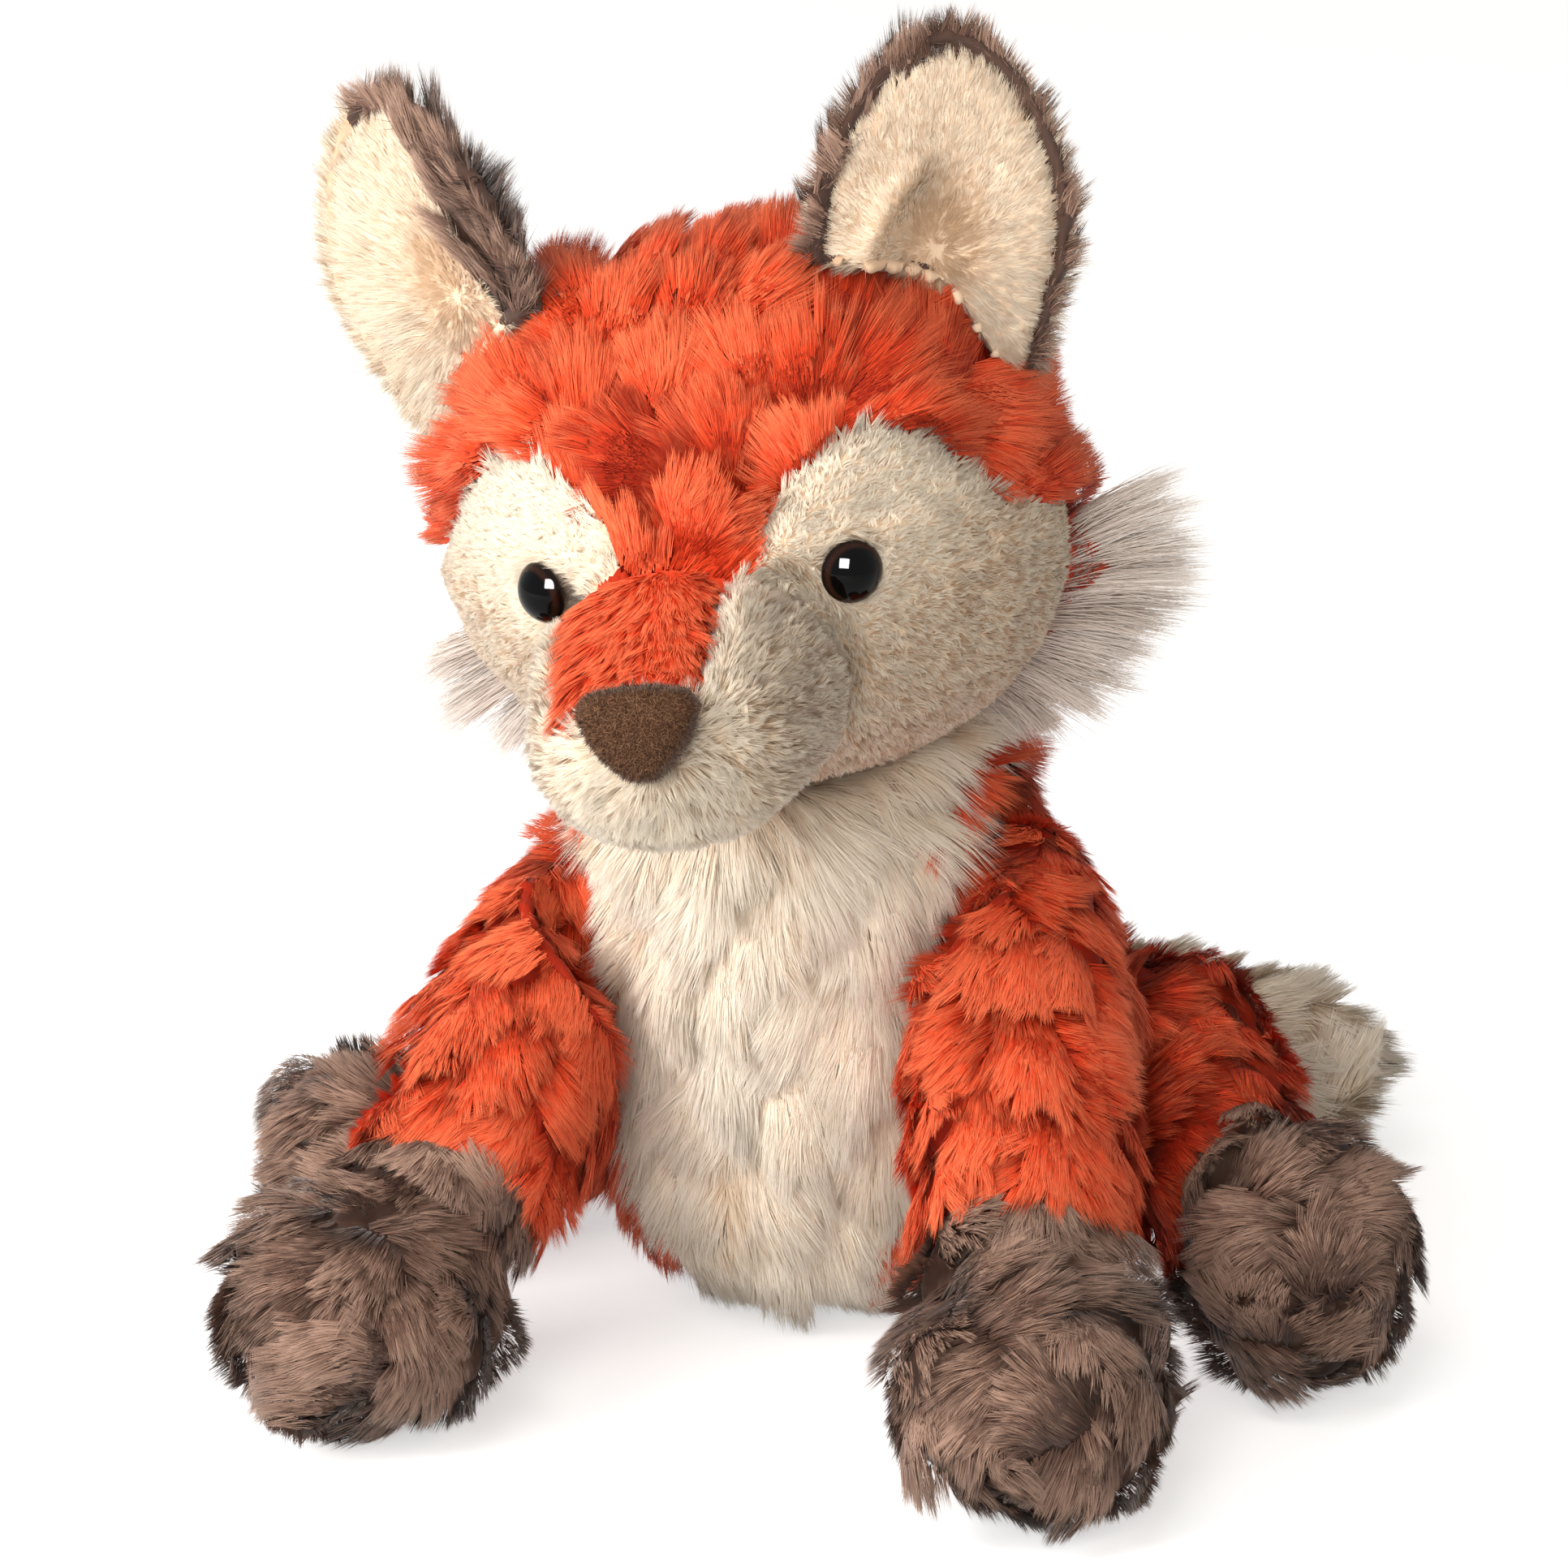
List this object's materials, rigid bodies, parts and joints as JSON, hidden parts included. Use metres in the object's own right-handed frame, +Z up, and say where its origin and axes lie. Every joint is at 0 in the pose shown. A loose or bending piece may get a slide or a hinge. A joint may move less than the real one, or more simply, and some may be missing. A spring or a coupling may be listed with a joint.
{
  "type": "plush fox",
  "caption": "Seated plush fox with sewn panels over stuffing, safety eyes, a felt nose, cheek tufts, and a head, ears, limbs and tail that bend at their seams.",
  "frame": {"origin": "Middle of the flat seat under the body, on the surface it sits on", "axes": "+Z up, the fox faces -Y, its own left side is +X"},
  "size_m": [0.2493, 0.2289, 0.2716],
  "materials": {
    "orange_fur": "long pile, tufted",
    "cream_fur": "long pile, tufted",
    "cream_velour": "short pile",
    "grey_velour": "short pile",
    "brown_fur": "long pile, tufted",
    "white_fur": "long straight pile",
    "nose_felt": "brushed felt",
    "polyester_stuffing": "loose fibre",
    "pellet_bag": "plain woven",
    "eye_plastic": "polished",
    "washer_plastic": "moulded"
  },
  "bodies": {
    "body": {"torso_coat": "orange_fur", "belly_panel": "cream_fur", "torso_stuffing": "polyester_stuffing", "pellet_pouch": "pellet_bag"},
    "head": {"crown_coat": "orange_fur", "face_patch_left": "cream_velour", "face_patch_right": "cream_velour", "muzzle": "grey_velour", "nose_bridge": "orange_fur", "nose_pad": "nose_felt", "eye_left": "eye_plastic", "eye_right": "eye_plastic", "eye_washer_left": "washer_plastic", "eye_washer_right": "washer_plastic", "cheek_tuft_left": "white_fur", "cheek_tuft_right": "white_fur", "head_stuffing": "polyester_stuffing"},
    "ear_left": {"ear_back_left": "brown_fur", "ear_lining_left": "cream_velour"},
    "ear_right": {"ear_back_right": "brown_fur", "ear_lining_right": "cream_velour"},
    "arm_left": {"sleeve_left": "orange_fur", "forepaw_left": "brown_fur", "arm_stuffing_left": "polyester_stuffing"},
    "arm_right": {"sleeve_right": "orange_fur", "forepaw_right": "brown_fur", "arm_stuffing_right": "polyester_stuffing"},
    "leg_left": {"thigh_left": "orange_fur", "foot_left": "brown_fur", "leg_stuffing_left": "polyester_stuffing"},
    "leg_right": {"thigh_right": "orange_fur", "foot_right": "brown_fur", "leg_stuffing_right": "polyester_stuffing"},
    "tail": {"tail_coat": "orange_fur", "tail_tip": "cream_fur", "tail_stuffing": "polyester_stuffing"}
  },
  "joints": [
    {"name": "head_turn", "type": "hinge", "parent": "body", "child": "head", "pos_m": [0.00229, -0.01804, 0.12704], "axis": [-0.1368, -0.2166, 0.9666], "range_deg": [-20, 20], "stiffness_Nm_per_rad": 0.3},
    {"name": "ear_left_flop", "type": "hinge", "parent": "head", "child": "ear_left", "pos_m": [0.03066, -0.03249, 0.21471], "axis": [0.9035, 0.4243, -0.0607], "range_deg": [-12, 12], "stiffness_Nm_per_rad": 0.05},
    {"name": "ear_right_flop", "type": "hinge", "parent": "head", "child": "ear_right", "pos_m": [-0.05429, -0.03629, 0.20184], "axis": [0.7931, -0.403, 0.4567], "range_deg": [-12, 12], "stiffness_Nm_per_rad": 0.05},
    {"name": "arm_left_raise", "type": "hinge", "parent": "body", "child": "arm_left", "pos_m": [0.045, -0.014, 0.092], "axis": [-1, 0, 0], "range_deg": [0, 35], "stiffness_Nm_per_rad": 0.3},
    {"name": "arm_right_raise", "type": "hinge", "parent": "body", "child": "arm_right", "pos_m": [-0.045, -0.014, 0.08], "axis": [-1, 0, 0], "range_deg": [0, 35], "stiffness_Nm_per_rad": 0.3},
    {"name": "leg_left_spread", "type": "hinge", "parent": "body", "child": "leg_left", "pos_m": [0.044, 0.02, 0.036], "axis": [0, 0, 1], "range_deg": [0, 20], "stiffness_Nm_per_rad": 0.3},
    {"name": "leg_right_spread", "type": "hinge", "parent": "body", "child": "leg_right", "pos_m": [-0.044, 0.02, 0.036], "axis": [0, 0, -1], "range_deg": [0, 20], "stiffness_Nm_per_rad": 0.3},
    {"name": "tail_swing", "type": "hinge", "parent": "body", "child": "tail", "pos_m": [0.006, 0.048, 0.028], "axis": [0, 0, 1], "range_deg": [0, 20], "stiffness_Nm_per_rad": 0.2}
  ]
}
